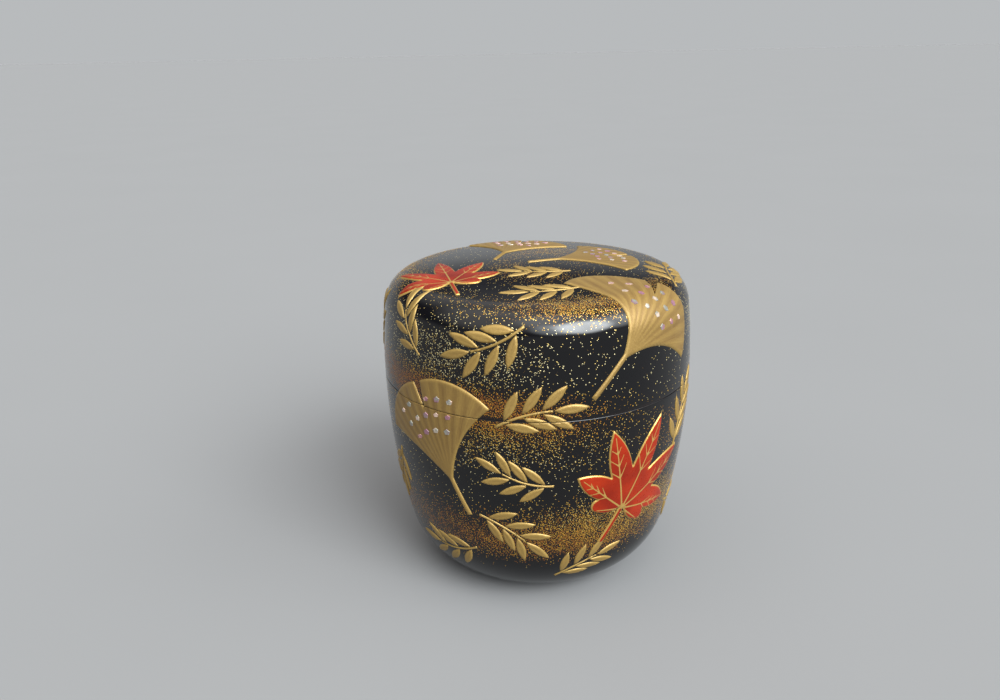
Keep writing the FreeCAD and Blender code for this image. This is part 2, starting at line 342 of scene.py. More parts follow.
def vesselProfile(form):
    side, foot = vesselArcs
    seam = form["seamHeight"]
    band = form["cornerBand"]
    fade = form["wornBand"]
    outside = form["radius"]
    wall = form["vesselWall"]
    footRadius = form["footRadius"]
    recessRadius = footRadius - form["footRingWidth"]
    wellRadius = outside - wall
    lipRadius = outside - form["coverWall"] - form["lipClearance"]
    floorHeight = foot.point(-pi / 2, -wall)[1]
    recess = [(recessRadius * share, form["footRecess"]) for share in (0.0, 0.5, 1.0)]
    ring = roundedCorner((recessRadius, 0), (0, 1), (1, 0), form["footRound"])
    ring += roundedCorner((footRadius, 0), (-1, 0), (0, 1), form["footRound"])
    outer = foot.points(form["outerStep"], start=foot.end, end=foot.start)
    outer += side.points(form["outerStep"], start=side.end, end=-form["seamRound"] / side.radius)[1:]
    shelf = roundedCorner((outside, seam), (0, -1), (-1, 0), form["seamRound"])[1:]
    lip = roundedCorner((lipRadius, lipTop), (0, -1), (-1, 0), form["lipRound"])
    lip += roundedCorner((wellRadius, lipTop), (1, 0), (0, -1), form["lipRound"])
    rim = shelf + [(shelf[-1][0] - fade, seam)]
    rim += [(lipRadius + band, seam), (lipRadius, seam), (lipRadius, seam + band)]
    rim += [(lipRadius, lip[0][1] - fade)] + lip
    well = [(wellRadius, lip[-1][1] - fade)]
    well += side.points(form["innerStep"], -wall)
    well += foot.points(form["innerCurveStep"], -wall, end=-pi / 2)[1:]
    well += [(foot.centre[0] * share, floorHeight) for share in (0.5, 0.0)]
    outerRuns = -outlineRuns(outer[::-1])[::-1]
    worn = {**dict.fromkeys(ring + lip, 1.0), **dict.fromkeys(shelf, form["seamWear"])}
    return profileRows(recess + ring, outer, rim + well, outerRuns, worn)


def coverProfile(form):
    side, shoulder, crown = coverArcs
    seam = form["seamHeight"]
    band = form["cornerBand"]
    outside = form["radius"]
    wall = form["coverWall"]
    boreRadius = outside - wall
    boreTop = lipTop + form["lipHeadRoom"]
    innerStart = asin((boreTop - seam) / (side.radius - wall))
    inside = crown.points(form["innerStep"], -wall, start=crown.end, end=crown.start)
    inside += shoulder.points(form["innerCurveStep"], -wall, start=shoulder.end, end=shoulder.start)[1:]
    inside += side.points(form["innerStep"], -wall, start=side.end, end=innerStart)[1:]
    inside += [(boreRadius, height) for height in (boreTop, boreTop - band, seam + band, seam)]
    inside[0] = (0.0, inside[0][1])
    edge = roundedCorner((outside, seam), (-1, 0), (0, 1), form["seamRound"])
    rim = [(boreRadius + band, seam), (edge[0][0] - form["wornBand"], seam)] + edge
    outer = side.points(form["outerStep"], start=form["seamRound"] / side.radius)[1:]
    outer += shoulder.points(form["shoulderStep"])[1:]
    outer += crown.points(form["outerStep"])[1:]
    outer[-1] = (0.0, outer[-1][1])
    outerRuns = outlineRuns(outer) + form["outerStep"]
    return profileRows(inside + rim, outer, [], outerRuns, dict.fromkeys(edge, form["seamWear"]))


vesselRows = vesselProfile(turnedForm)
coverRows = coverProfile(turnedForm)
print("profiles:", len(vesselRows), "and", len(coverRows), "points")


# Node helpers: an input is a plain value or another node's output, whose tree the new node joins
def node(tree, kind, inputs=None, **settings):
    made = tree.nodes.new(kind)
    for name, value in settings.items():
        setattr(made, name, value)
    feed(made, inputs or {})
    return made


def output(tree, kind, inputs=None, **settings):
    # the first output that a new node's settings leave in use
    return next(s for s in node(tree, kind, inputs, **settings).outputs if s.enabled)


def feed(made, inputs):
    for name, value in inputs.items():
        socket = made.inputs[name]
        if not socket.enabled:
            socket = next(s for s in made.inputs if s.enabled and s.name == name)
        if isinstance(value, bpy.types.NodeSocket):
            made.id_data.links.new(value, socket)
        else:
            socket.default_value = (*value, 1.0) if socket.type == "RGBA" else value


def maths(operation, *values, clamp=False):
    inputs = dict(enumerate(values))
    return output(values[0].id_data, "ShaderNodeMath", inputs, operation=operation, use_clamp=clamp)


def times(first, *others):
    for other in others:
        first = maths("MULTIPLY", first, other)
    return first


def mixColours(factor, first, second, blend="MIX"):
    inputs = {"Factor": factor, "A": first, "B": second}
    return output(factor.id_data, "ShaderNodeMix", inputs, data_type="RGBA", blend_type=blend)


def noise(vector, scale, detail=3.0, roughness=0.5):
    inputs = {"Vector": vector, "Scale": scale, "Detail": detail, "Roughness": roughness}
    return node(vector.id_data, "ShaderNodeTexNoise", inputs).outputs["Fac"]


def ramp(value, low, high, shape="LINEAR"):
    inputs = {"Value": value, "From Min": low, "From Max": high}
    return output(value.id_data, "ShaderNodeMapRange", inputs, interpolation_type=shape)


def bump(height, strength, distance):
    inputs = {"Height": height, "Strength": strength, "Distance": distance}
    return output(height.id_data, "ShaderNodeBump", inputs)


def objectPlace(tree):
    return node(tree, "ShaderNodeTexCoord").outputs["Object"]


def pointValue(tree, name):
    return node(tree, "ShaderNodeAttribute", attribute_name=name).outputs["Fac"]


def newMaterial(name, surface, finish):
    # surface works out the shader's inputs from the finish
    material = bpy.data.materials.new(name)
    material.use_nodes = True
    tree = material.node_tree
    tree.nodes.clear()
    shader = output(tree, "ShaderNodeBsdfPrincipled", surface(tree, finish))
    node(tree, "ShaderNodeOutputMaterial", {"Surface": shader})
    return material


lacquerFinish = {
    "black": (0.0021, 0.002, 0.0025),
    "brown": (0.016, 0.0062, 0.0022), "brownScale": 60.0, "brownRange": (0.3, 0.7),
    "fineGold": (0.34, 0.2, 0.035), "fineCopper": (0.25, 0.08, 0.014), "fineScale": 5200.0,
    "fineReach": 0.42, "finePower": 1.5, "fineChance": 0.3, "fineShade": (0.7, 0.15),
    "fineMetallic": 0.6, "fineRoughness": 0.25,
    "worn": (0.034, 0.012, 0.006), "wornScale": 190.0, "wornRange": (0.4, 0.64),
    "roughness": 0.09,
    "haze": 0.05, "hazeScale": 220.0, "hazeRange": (0.3, 0.8),
    "ior": 1.43,
    "rippleScale": 130.0,
    "ripple": (0.03, 0.0004),  # strength and depth
}


def blackLacquer(tree, finish):
    place = objectPlace(tree)
    cloud = pointValue(tree, "dust")
    warm = pointValue(tree, "warm")
    depth = ramp(noise(place, finish["brownScale"]), *finish["brownRange"])
    ground = mixColours(times(cloud, warm, depth), finish["black"], finish["brown"])
    rubbed = ramp(noise(place, finish["wornScale"], detail=6.0, roughness=0.65), *finish["wornRange"])
    ground = mixColours(times(pointValue(tree, "wear"), rubbed), ground, finish["worn"])
    # fine dust between the flakes: some cells of a pattern, more of them where a drift is dense
    cells = node(tree, "ShaderNodeTexVoronoi", {"Vector": place, "Scale": finish["fineScale"]}).outputs
    draw = node(tree, "ShaderNodeSeparateColor", {"Color": cells["Color"]}).outputs
    chance = times(maths("POWER", cloud, finish["finePower"]), finish["fineChance"])
    near = maths("LESS_THAN", cells["Distance"], finish["fineReach"])
    speck = times(maths("LESS_THAN", draw["Red"], chance), near)
    shade = maths("MULTIPLY_ADD", draw["Green"], *finish["fineShade"])
    grains = mixColours(warm, finish["fineGold"], finish["fineCopper"])
    haze = ramp(noise(place, finish["hazeScale"], detail=4.0), *finish["hazeRange"])
    rough = maths("MULTIPLY_ADD", haze, finish["haze"], finish["roughness"])
    return {
        "Base Color": mixColours(times(speck, shade), ground, grains),
        "Metallic": times(speck, finish["fineMetallic"]),
        "Roughness": maths("MULTIPLY_ADD", speck, finish["fineRoughness"], rough),
        "IOR": finish["ior"],
        "Normal": bump(noise(place, finish["rippleScale"], detail=2.0), *finish["ripple"]),
    }


goldFinish = {
    "deep": (0.13, 0.066, 0.017),
    "pale": (0.34, 0.221, 0.058),
    # the stroke tone's share carries the rims' painted highlight as well as the gold's outline and strokes
    "strokeWidth": 0.00019, "strokeLength": 0.004, "strokeShare": 0.4,
    "streakShare": 0.7,
    "grainScale": 2600.0, "grainShare": 0.3,
    "patchScale": 180.0, "patchShare": 0.3,
    "darker": 0.32,
    "metallic": 0.4,
    "smoothest": 0.36,
    "grainRoughness": 0.24,
    "bump": (0.4, 0.00006),  # strength and depth
}


def goldRelief(tree, finish):
    place = objectPlace(tree)
    across = times(pointValue(tree, "across"), 1 / finish["strokeWidth"])
    along = times(pointValue(tree, "along"), 1 / finish["strokeLength"])
    brush = output(tree, "ShaderNodeCombineXYZ", {"X": across, "Y": along})
    streak = noise(brush, 1.0, roughness=0.6)
    grain = noise(place, finish["grainScale"], roughness=0.6)
    patch = noise(place, finish["patchScale"])
    blend = times(streak, finish["streakShare"])
    # the stroke tone brings in the paler rims: partly lighter outline, partly painted highlight
    blend = maths("MULTIPLY_ADD", pointValue(tree, "stroke"), finish["strokeShare"], blend)
    blend = maths("MULTIPLY_ADD", grain, finish["grainShare"], blend)
    blend = maths("SUBTRACT", blend, finish["darker"])
    blend = maths("MULTIPLY_ADD", patch, finish["patchShare"], blend, clamp=True)
    return {
        "Base Color": mixColours(blend, finish["deep"], finish["pale"]),
        "Metallic": finish["metallic"],
        "Roughness": maths("MULTIPLY_ADD", grain, finish["grainRoughness"], finish["smoothest"]),
        "Normal": bump(maths("ADD", grain, streak), *finish["bump"]),
    }


redFinish = {
    "deep": (0.14, 0.009, 0.003),
    "bright": (0.26, 0.0195, 0.0045),
    "patchScale": 150.0, "patchRange": (0.3, 0.7),
    "gold": (0.4, 0.25, 0.07), "goldMetallic": 0.5,
    "lineSoftness": 0.00003,
    "fineScale": 1800.0, "fineRoughness": 0.2,
    "smoothest": 0.2,
    "specular": 0.14,
}


def redRelief(tree, finish):
    place = objectPlace(tree)
    line = ramp(pointValue(tree, "line"), finish["lineSoftness"], -finish["lineSoftness"])
    patch = ramp(noise(place, finish["patchScale"], detail=4.0), *finish["patchRange"])
    fine = noise(place, finish["fineScale"])
    body = mixColours(patch, finish["deep"], finish["bright"])
    return {
        "Base Color": mixColours(line, body, finish["gold"]),
        "Metallic": times(line, finish["goldMetallic"]),
        "Roughness": maths("MULTIPLY_ADD", fine, finish["fineRoughness"], finish["smoothest"]),
        "Specular IOR Level": finish["specular"],
    }


shellFinish = {
    "stops": [
        (0.0, (0.36, 0.14, 0.15)),
        (0.3, (0.56, 0.42, 0.33)),
        (0.55, (0.22, 0.23, 0.19)),
        (0.8, (0.26, 0.12, 0.16)),
    ],
    "sheenScale": 900.0,
    "shader": {"Metallic": 0.35, "Roughness": 0.16, "Coat Weight": 0.3, "Coat Roughness": 0.04},
}


def shellFleck(tree, finish):
    sheen = noise(objectPlace(tree), finish["sheenScale"], detail=2.0)
    hue = maths("FRACT", maths("ADD", pointValue(tree, "tint"), sheen))
    colours = node(tree, "ShaderNodeValToRGB", {"Fac": hue})
    stops = colours.color_ramp.elements
    while len(stops) < len(finish["stops"]):
        stops.new(0.5)
    for stop, (position, colour) in zip(stops, finish["stops"]):
        stop.position = position
        stop.color = (*colour, 1.0)
    return {"Base Color": colours.outputs["Color"], **finish["shader"]}


dustFinish = {
    "shader": {"Metallic": 0.55, "Roughness": 0.32},
    "tones": {  # from the warmest drift to the thinnest
        "dustCopper": (0.29, 0.092, 0.012),
        "dustBronze": (0.4, 0.172, 0.02),
        "dustGold": (0.5, 0.285, 0.034),
        "dustLight": (0.58, 0.42, 0.13),
        "dustPale": (0.66, 0.57, 0.31),
    },
}


def goldDust(tree, colour):
    return {"Base Color": colour, **dustFinish["shader"]}


lacquerMaterial = newMaterial("blackLacquer", blackLacquer, lacquerFinish)
goldMaterial = newMaterial("goldRelief", goldRelief, goldFinish)
redMaterial = newMaterial("redRelief", redRelief, redFinish)
shellMaterial = newMaterial("shellFleck", shellFleck, shellFinish)
dustMaterials = [newMaterial(name, goldDust, colour) for name, colour in dustFinish["tones"].items()]
print("materials made")

for body, replaced, rows in (("vessel", "body_vessel", vesselRows), ("cover", "lid_cover", coverRows)):
    mesh = latheMesh(f"{body}_lacquer", rows)
    closeShell(openShell(mesh), mesh)
    piece = newObject(f"{body}_lacquer", mesh, lacquerMaterial)
    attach(piece, body)
    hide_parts(replaced)
print("turned pieces made")


def bowedPoints(first, last, swell, step):
    # points of an arc from first up to, not including, last; swells to the right of its way
    run = np.subtract(last, first)
    chord = float(np.hypot(*run))
    count = max(2, ceil(chord / step))
    normal = np.array([run[1], -run[0]]) / chord
    if abs(swell) < nearlyZero:
        return [tuple(np.add(first, run * i / count)) for i in range(count)]
    radius = (chord**2 / 4 + swell**2) / (2 * abs(swell))
    middle = np.add(first, run / 2) + normal * swell
    centre = middle - normal * copysign(radius, swell)
    half = asin(min(1.0, chord / 2 / radius))
    along = run / chord
    points = []
    for i in range(count):
        angle = -half + 2 * half * i / count
        offset = along * sin(angle) + normal * copysign(cos(angle), swell)
        points.append(tuple(centre + offset * radius))
    return points


def bowedLoop(corners, swells, step):
    # closed outline through the corners, with the swell of each side
    sides = zip(corners, corners[1:] + corners[:1], swells)
    return [point for first, last, swell in sides for point in bowedPoints(first, last, swell, step)]


def polar(reach, angle):
    angle = radians(angle)
    return (reach * sin(angle), reach * cos(angle))


def segmentDistance(points, first, last):
    # distance from each point to a straight line, and how far along the line its nearest place is
    first = np.asarray(first, float)
    run = np.asarray(last, float) - first
    share = np.clip(((points - first) @ run) / max(run @ run, nearlyZero**2), 0, 1)
    return np.hypot(*(points - first - share[:, None] * run).T), share


def edgeDistance(points, loop):
    best = np.full(len(points), np.inf)
    for first, last in zip(loop, loop[1:] + loop[:1]):
        best = np.minimum(best, segmentDistance(points, first, last)[0])
    return best


# Row height and margins of the even grid, in steps, then the least rise and gap, in metres
fillGrid = {"rowHeight": 0.87, "edgeMargin": 0.55, "lineMargin": 0.3, "level": 1e-15, "near": 1e-7}


def fillOutline(loop, step, lines=()):
    # triangles inside a closed outline, on an even grid of points and along the given lines
    ring = np.array(loop)
    low = ring.min(0)
    high = ring.max(0)
    rows = int((high[1] - low[1]) / (step * fillGrid["rowHeight"])) + 1
    columns = int((high[0] - low[0]) / step) + 1
    row, column = np.mgrid[:rows, :columns]
    across = low[0] + row % 2 * (0.5 * step) + column * step
    grid = np.stack([across, low[1] + row * step * fillGrid["rowHeight"]], -1).reshape(-1, 2)
    ahead = np.roll(ring, -1, 0)
    crossing = (ring[None, :, 1] > grid[:, None, 1]) != (ahead[None, :, 1] > grid[:, None, 1])
    rise = ahead[:, 1] - ring[:, 1]
    rise = np.where(np.abs(rise) < fillGrid["level"], fillGrid["level"], rise)
    where = ring[:, 0] + (grid[:, None, 1] - ring[:, 1]) / rise * (ahead[:, 0] - ring[:, 0])
    inside = ((crossing & (grid[:, None, 0] < where)).sum(1) % 2) == 1
    inner = grid[inside]
    inner = inner[edgeDistance(inner, loop) > step * fillGrid["edgeMargin"]]
    points = [Vector(p) for p in loop]
    edges = []
    for first, last in lines:
        inner = inner[segmentDistance(inner, first, last)[0] > step * fillGrid["lineMargin"]]
        count = max(1, round(dist(first, last) / step))
        edges += [(len(points) + i, len(points) + i + 1) for i in range(count)]
        points += [Vector(first).lerp(Vector(last), i / count) for i in range(count + 1)]
    points += [Vector(p) for p in inner]
    made = delaunay_2d_cdt(points, edges, [list(range(len(loop)))], 1, fillGrid["near"])
    return np.array([tuple(v) for v in made[0]]), [tuple(f) for f in made[2]]


reliefFit = {
    "bondingFilm": 0.00003,  # between the lacquer and the relief
    "sunk": 0.00006,  # how far a base reaches into the lacquer
    "seamCut": 0.0001,  # what is cut back on each side of the seam
    "merged": 1e-7,  # points this near are one
    "onCut": 1e-8,  # points this near the cut lie on it
}


class ReliefHeap:
    # gathers closed relief shells, with their attributes, for one mesh
    def __init__(self, places, patches):
        self.verts = []
        self.faces = []
        self.values = {}
        for place in places:
            seat = Seat(*place)
            for patch in patches:
                self.add(seat, *patch)

    def add(self, seat, plan, faces, lift, values):
        start = sum(len(v) for v in self.verts)
        top = seat.onSurface(plan, lift)
        base = seat.onSurface(plan, np.full(len(plan), -reliefFit["sunk"]))
        self.verts += [top, base]
        count = len(plan)
        edges = dict.fromkeys(side for face in faces for side in zip(face, face[1:] + face[:1]))
        for face in faces:
            self.faces.append(tuple(start + i for i in face))
            self.faces.append(tuple(start + count + i for i in reversed(face)))
        for a, b in edges:
            if (b, a) not in edges:
                self.faces.append((start + b, start + a, start + count + a, start + count + b))
        for name, numbers in values.items():
            self.values.setdefault(name, []).extend([numbers, numbers])

    def half(self, name, above, material):
        # closed mesh of what lies above or below the seam, cut a little short of it
        values = {attribute: np.concatenate(store) for attribute, store in self.values.items()}
        mesh = newMesh(name, np.concatenate(self.verts).tolist(), self.faces, values)
        shell = openShell(mesh)
        bmesh.ops.remove_doubles(shell, verts=shell.verts, dist=reliefFit["merged"])
        cut = turnedForm["seamHeight"] + (reliefFit["seamCut"] if above else -reliefFit["seamCut"])
        everything = shell.verts[:] + shell.edges[:] + shell.faces[:]
        bmesh.ops.bisect_plane(
            shell, geom=everything, dist=reliefFit["onCut"], plane_co=(0, 0, cut),
            plane_no=(0, 0, 1), clear_inner=above, clear_outer=not above,
        )
        cutEdges = [e for e in shell.edges if e.is_boundary]
        if cutEdges:
            bmesh.ops.holes_fill(shell, edges=cutEdges, sides=0)
        closeShell(shell, mesh)
        return newObject(name, mesh, material)


def domed(edge, size):
    # height at a distance from the outline: a quarter round, then a slow rise to the crown
    near = np.clip(1 - edge / size["edgeRound"], 0, 1)
    rise = size["edgeShare"] + size["crownShare"] * np.clip(edge / size["crownReach"], 0, 1)
    return size["relief"] * np.sqrt(1 - near**2) * rise


# Places of the relief are a turn, a run from the seam, a spin and a scale
goldLeaf = {
    "width": 0.027,
    "cornerHeight": 0.011,
    "edgeHeight": 0.019,
    "notchWidth": 0.0018, "notchDepth": 0.005,
    "sideHollow": 0.0016,
    "edgeSwell": 0.0025,
    "stalkLength": 0.008, "stalkWidth": 0.001,
    "relief": 0.00036,
    "edgeRound": 0.00045,
    "edgeShare": 0.72,  # of the relief at the edge; the crown adds the rest further in
    "crownShare": 0.28, "crownReach": 0.004,
    "ribs": 46,
    "ribDepth": 0.000024,
    "ribCentre": 0.001,  # how far behind the stalk's top the ribs meet
    "ribStart": 0.0015, "ribFade": 0.004, "ribMargin": 0.0012,
    # the rim is painted paler: partly the gold's lighter outline, partly a painted highlight on the rounded
    # edge
    "strokeBase": 0.22, "strokeRibs": 0.35, "rimLineAndHighlight": 0.8,
    "rimHighlightFade": 0.0003,
    "strokeReach": 0.7,
    "step": 0.00028,
    "places": [
        (-38.0, -0.0055, 22.0, 1.2),
        (44.0, 0.0205, -52.0, 1.15),
        (148.0, -0.018, -28.0, 1.15),
        (-165.0, 0.036, 150.0, 1.0),
        (112.0, 0.041, 180.0, 1.0),
    ],
}


def goldLeafLoop(size):
    halfStalk = size["stalkWidth"] / 2
    halfNotch = size["notchWidth"] / 2
    drop = size["edgeHeight"] / 2
    corner = size["width"] / 2
    cornerHeight = size["cornerHeight"] - drop
    edgeHeight = size["edgeHeight"] - drop
    foot = -drop - size["stalkLength"]
    hollow = -size["sideHollow"]
    swell = size["edgeSwell"]
    corners = [
        (halfStalk, -drop), (corner, cornerHeight), (halfNotch, edgeHeight),
        (0.0, edgeHeight - size["notchDepth"]),
        (-halfNotch, edgeHeight), (-corner, cornerHeight), (-halfStalk, -drop),
        (-halfStalk, foot), (halfStalk, foot),
    ]
    swells = [hollow, swell, 0.0, 0.0, swell, hollow, 0.0, 0.0, 0.0]
    return bowedLoop(corners, swells, size["step"])


def goldLeafHeight(plan, loop, size):
    drop = size["edgeHeight"] / 2
    edge = edgeDistance(plan, loop)
    fan = np.arctan2(plan[:, 0], plan[:, 1] + drop + size["ribCentre"])
    reach = np.hypot(plan[:, 0], plan[:, 1] + drop)
    ribs = np.cos(fan * size["ribs"])
    blade = np.clip((reach - size["ribStart"]) / size["ribFade"], 0, 1) * (plan[:, 1] > -drop)
    inner = np.clip(edge / size["ribMargin"], 0, 1)
    height = domed(edge, size) + size["ribDepth"] * (ribs - 1) * blade * inner
    stroke = size["strokeBase"] + size["strokeRibs"] * ribs * blade * inner
    # paler on the rounded rim: partly the gold's lighter outline, partly painted highlight
    stroke = stroke + size["rimLineAndHighlight"] * np.exp(-edge / size["rimHighlightFade"])
    values = {"stroke": stroke, "across": fan * size["edgeHeight"] * size["strokeReach"], "along": reach}
    return reliefFit["bondingFilm"] + np.maximum(height, 0.0), values


goldLoop = goldLeafLoop(goldLeaf)
goldPlan, goldFaces = fillOutline(goldLoop, goldLeaf["step"])
goldPatch = (goldPlan, goldFaces, *goldLeafHeight(goldPlan, goldLoop, goldLeaf))
goldHeap = ReliefHeap(goldLeaf["places"], [goldPatch])
print("gold leaves:", len(goldPlan), "points each")


redLeaf = {
    "lobes": [(0.0, 0.0145), (42.0, 0.0132), (86.0, 0.0104), (128.0, 0.0062)],
    "valley": 0.0056,
    "lobeSwell": 0.00065,
    "base": 0.002,
    "stalkLength": 0.007, "stalkWidth": 0.0009,
    "relief": 0.00036,
    "edgeRound": 0.0004, "edgeShare": 0.74,
    "crownShare": 0.16, "crownReach": 0.0028,
    "veinWidth": 0.00015, "veinReach": 0.9, "veinTaper": 0.65, "veinRelief": 0.00003,
    "forks": (0.45, 0.62, 0.78),
    "forkedFrom": 0.009,
    "forkLength": 0.32, "forkEnd": 1.1, "forkAngle": 36.0, "forkWidth": 0.6,
    "rimWidth": 0.0002,
    "step": 0.00024,
    "places": [
        (34.0, -0.0215, -26.0, 1.4),
        (-55.0, 0.033, 70.0, 1.15),
        (-124.0, -0.004, 35.0, 1.25),
    ],
}


def allLobes(size):
    right = list(reversed(size["lobes"]))
    left = [(-angle, reach) for angle, reach in size["lobes"][1:]]
    return right + left


def redLeafLoop(size):
    lobes = allLobes(size)
    halfStalk = size["stalkWidth"] / 2
    points = [(halfStalk, -size["base"])]
    for index, (angle, reach) in enumerate(lobes):
        points.append(polar(reach, angle))
        if index + 1 < len(lobes):
            points.append(polar(size["valley"], (angle + lobes[index + 1][0]) / 2))
    points.append((-halfStalk, -size["base"]))
    foot = -size["base"] - size["stalkLength"]
    stalk = [(-halfStalk, foot), (halfStalk, foot)]
    swells = [size["lobeSwell"]] * (len(points) - 1) + [0.0] * 3  # the stalk is straight
    return bowedLoop(points + stalk, swells, size["step"])


def redLeafVeins(size):
    # middle lines with their widths: one along each lobe, with small side veins
    root = np.array([0.0, -size["base"]])
    veins = []
    for angle, reach in allLobes(size):
        tip = np.array(polar(reach * size["veinReach"], angle))
        veins.append((root, tip, size["veinWidth"]))
        for place in size["forks"] if reach > size["forkedFrom"] else ():
            fork = tip * place + root * (1 - place)
            length = reach * size["forkLength"] * (size["forkEnd"] - place)
            for side in (-1, 1):
                end = fork + np.array(polar(length, angle + side * size["forkAngle"]))
                veins.append((fork, end, size["veinWidth"] * size["forkWidth"]))
    return veins


def redLeafHeight(plan, loop, veins, size):
    edge = edgeDistance(plan, loop)
    line = edge - size["rimWidth"]  # below 0 on the gold rim and on each vein
    for first, last, width in veins:
        distance, share = segmentDistance(plan, first, last)
        line = np.minimum(line, distance - width * (1.0 - size["veinTaper"] * share))
    raised = np.clip(-line / size["veinWidth"], 0, 1) * (edge > size["edgeRound"])
    height = domed(edge, size) + size["veinRelief"] * raised
    return reliefFit["bondingFilm"] + np.minimum(height, size["relief"]), {"line": line}


redLoop = redLeafLoop(redLeaf)
redVeins = redLeafVeins(redLeaf)
redPlan, redFaces = fillOutline(redLoop, redLeaf["step"], [vein[:2] for vein in redVeins])
redPatch = (redPlan, redFaces, *redLeafHeight(redPlan, redLoop, redVeins, redLeaf))
redHeap = ReliefHeap(redLeaf["places"], [redPatch])
print("red leaves:", len(redPlan), "points each")


goldSpray = {
    "length": 0.012,
    "bend": 0.0008,
    "stemWidth": 0.00055, "stemTaper": (1.15, 0.8), "stemPoints": 24,
    "leafletLength": 0.007, "leafletWidth": 0.002, "leafletPairs": 3, "leafletAngle": 38.0,
    "leafletGap": 0.00015,
    "relief": 0.0002,
    "edgeRound": 0.00032, "edgeShare": 1.0,
    "crownShare": 0.0, "crownReach": 0.001,
    "grooveWidth": 0.00014, "grooveDepth": 0.00005, "grooveEnd": 0.8, "grooveFade": 4,
    # the rim is painted paler: partly the gold's lighter outline, partly a painted highlight on the rounded
    # edge
    "strokeBase": 0.75, "rimLineAndHighlight": 0.4,
    "rimHighlightFade": 0.0003,
    "strokeGroove": 0.45,
    "step": 0.00032,
    "places": [
        (-4.0, 0.0005, -72.0, 1.05), (-3.0, -0.014, 76.0, 0.95), (-13.0, -0.0275, -122.0, 1.0),
        (-34.0, -0.036, 104.0, 0.95), (16.0, -0.0395, -60.0, 0.9), (-65.0, -0.02, 152.0, 1.0),
        (63.0, -0.009, -22.0, 1.05), (72.0, -0.034, -125.0, 1.0), (-13.0, 0.0175, 118.0, 1.05),
        (-48.0, 0.0155, 36.0, 0.9), (11.0, 0.0345, 96.0, 0.95), (17.0, 0.0475, 75.0, 0.9),
        (80.0, 0.0245, -75.0, 1.0), (-84.0, 0.009, -14.0, 1.0), (104.0, 0.0095, 20.0, 1.0),
        (112.0, -0.022, 150.0, 1.0), (-98.0, -0.029, 40.0, 1.0), (-165.0, 0.009, 60.0, 1.0),
        (-116.0, 0.02, 100.0, 0.9), (146.0, 0.013, -100.0, 1.0), (-166.0, -0.022, -40.0, 1.0),
        (-168.0, -0.039, 100.0, 0.9),
    ],
}


def sprayLoops(size):
    # outlines of the stem and of every leaflet, with the line that each one's midrib follows
    halfStem = size["stemWidth"] / 2
    foot = -size["length"] / 2
    tip = size["length"] / 2
    bendRadius = size["length"] ** 2 / (8 * size["bend"])

    def stemAt(along):
        return -size["bend"] + along**2 / (2 * bendRadius)

    stations = np.linspace(foot, tip, size["stemPoints"])
    taper = np.linspace(*size["stemTaper"], size["stemPoints"])
    right, left = ([(stemAt(v) + s * halfStem * t, v) for v, t in zip(stations, taper)] for s in (1, -1))
    loops = [(right + left[::-1], ((stemAt(foot), foot), (stemAt(tip), tip)))]

    def leaflet(along, side):
        lean = degrees(atan2(along, bendRadius))
        reach = polar(size["leafletLength"], side * size["leafletAngle"] + lean)
        beside = side * (halfStem + size["leafletGap"])
        ahead = size["leafletGap"] if side == 0 else 0.0
        base = (stemAt(along) + beside, along + ahead)
        point = (base[0] + reach[0], base[1] + reach[1])
        half = size["leafletWidth"] / 2
        return bowedLoop([base, point], [half, half], size["step"]), (base, point)

    gap = size["length"] / size["leafletPairs"]
    for pair in range(size["leafletPairs"]):
        along = foot + (pair + 0.5) * gap
        loops += [leaflet(along, side) for side in (-1, 1)]
    loops.append(leaflet(tip, 0))
    return loops


def sprayPatches(size):
    patches = []
    loops = sprayLoops(size)
    for loop, midrib in loops:
        plan, faces = fillOutline(loop, size["step"])
        edge = edgeDistance(plan, loop)
        height = domed(edge, size)
        # paler on the rounded rim: partly the gold's lighter outline, partly painted highlight
        stroke = size["strokeBase"] + size["rimLineAndHighlight"] * np.exp(-edge / size["rimHighlightFade"])
        distance, share = segmentDistance(plan, *midrib)
        if loop is not loops[0][0]:  # the stem has no groove
            groove = np.exp(-((distance / size["grooveWidth"]) ** 2))
            groove = groove * np.clip((size["grooveEnd"] - share) * size["grooveFade"], 0, 1)
            height = height - size["grooveDepth"] * groove
            stroke = stroke - size["strokeGroove"] * groove
        values = {"stroke": stroke, "across": distance, "along": share * size["leafletLength"]}
        patches.append((plan, faces, reliefFit["bondingFilm"] + np.maximum(height, 0.0), values))
    return patches


patches = sprayPatches(goldSpray)
sprayHeap = ReliefHeap(goldSpray["places"], patches)
print("sprays:", len(goldSpray["places"]), "of", len(patches), "patches")

halves = (("vessel", "body", False), ("cover", "lid", True))
for body, prefix, above in halves:
    for kind, heap, material, slot in (
        ("gold_leaves", goldHeap, goldMaterial, "gold_relief"),
        ("red_leaves", redHeap, redMaterial, "red_relief"),
        ("gold_sprays", sprayHeap, goldMaterial, "gold_relief"),
    ):
        piece = heap.half(f"{body}_{kind}", above, material)
        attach(piece, body)
        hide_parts(f"{prefix}_{kind}")
print("relief cut at the seam")


# Small things that repeat over a surface are set on points, each with a turn, a size and a tint
def newTree(name, sizes):
    # a tree that takes geometry and named sizes, and the sockets that these come in by
    tree = bpy.data.node_groups.new(name, "GeometryNodeTree")
    addSocket = tree.interface.new_socket
    addSocket(name="Geometry", in_out="INPUT", socket_type="NodeSocketGeometry")
    for size, value in sizes.items():
        kind = "NodeSocketInt" if isinstance(value, int) else "NodeSocketFloat"
        addSocket(name=size, in_out="INPUT", socket_type=kind).default_value = value
    addSocket(name="Geometry", in_out="OUTPUT", socket_type="NodeSocketGeometry")
    return tree, node(tree, "NodeGroupInput").outputs


def floatRandom(tree, low, high, seed):
    inputs = {"Min": low, "Max": high, "Seed": seed}
    return output(tree, "FunctionNodeRandomValue", inputs, data_type="FLOAT")


